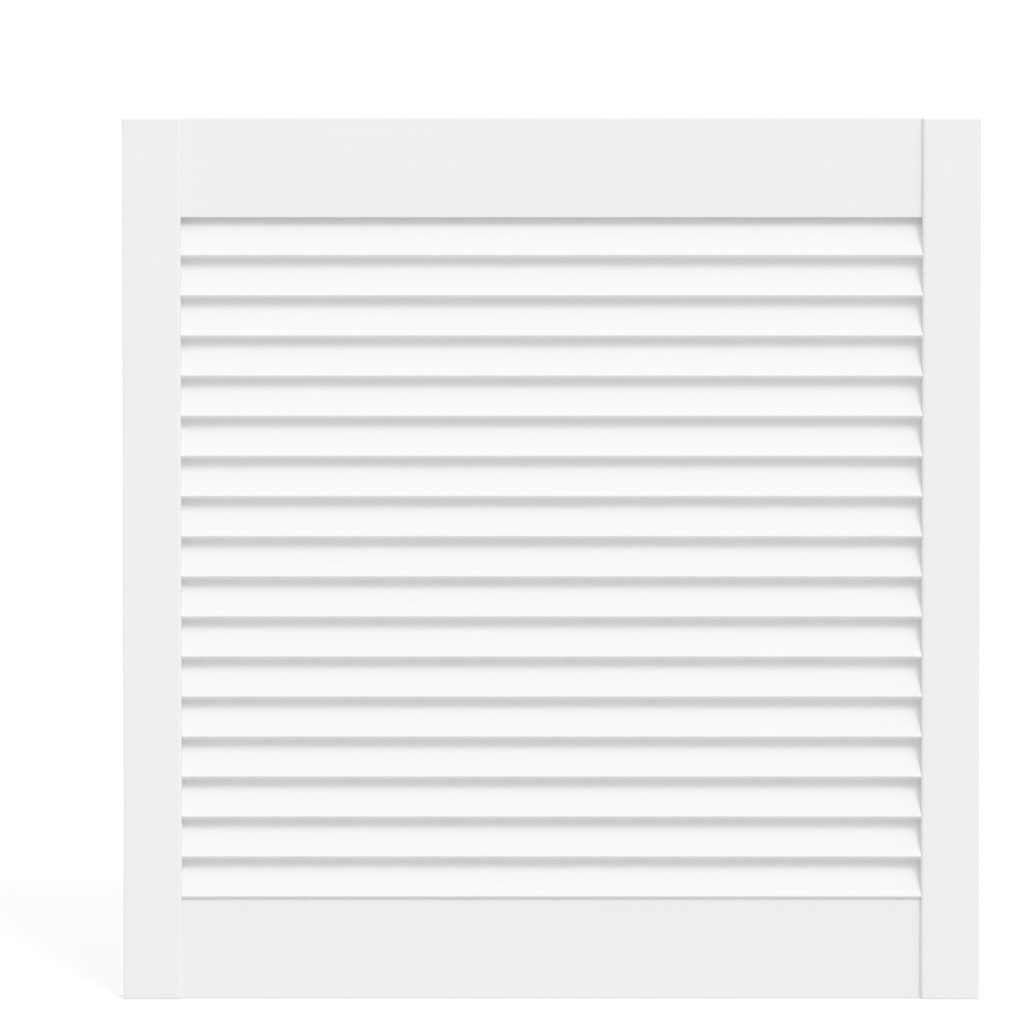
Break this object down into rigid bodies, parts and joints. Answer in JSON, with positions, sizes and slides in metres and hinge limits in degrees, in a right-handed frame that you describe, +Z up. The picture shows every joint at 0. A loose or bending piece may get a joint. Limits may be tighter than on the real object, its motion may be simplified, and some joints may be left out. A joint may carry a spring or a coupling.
{
  "type": "louvred door",
  "caption": "White-painted pine cabinet door leaf with square stiles, recessed rails and fixed slanted louvre slats.",
  "frame": {"origin": "centre of the hinge edge, the flat outer edge of the left stile, at mid height and mid thickness", "axes": "+X from the hinge edge to the free edge, +Y from the front to the back, +Z up along the stiles"},
  "size_m": [0.594, 0.021, 0.616],
  "materials": {
    "stile_paint": "satin white paint",
    "rail_paint": "satin white paint",
    "slat_paint": "satin white paint"
  },
  "bodies": {
    "root": {"left_stile": "stile_paint", "right_stile": "stile_paint", "top_rail": "rail_paint", "bottom_rail": "rail_paint", "slat_01": "slat_paint", "slat_02": "slat_paint", "slat_03": "slat_paint", "slat_04": "slat_paint", "slat_05": "slat_paint", "slat_06": "slat_paint", "slat_07": "slat_paint", "slat_08": "slat_paint", "slat_09": "slat_paint", "slat_10": "slat_paint", "slat_11": "slat_paint", "slat_12": "slat_paint", "slat_13": "slat_paint", "slat_14": "slat_paint", "slat_15": "slat_paint", "slat_16": "slat_paint", "slat_17": "slat_paint"}
  },
  "joints": []
}
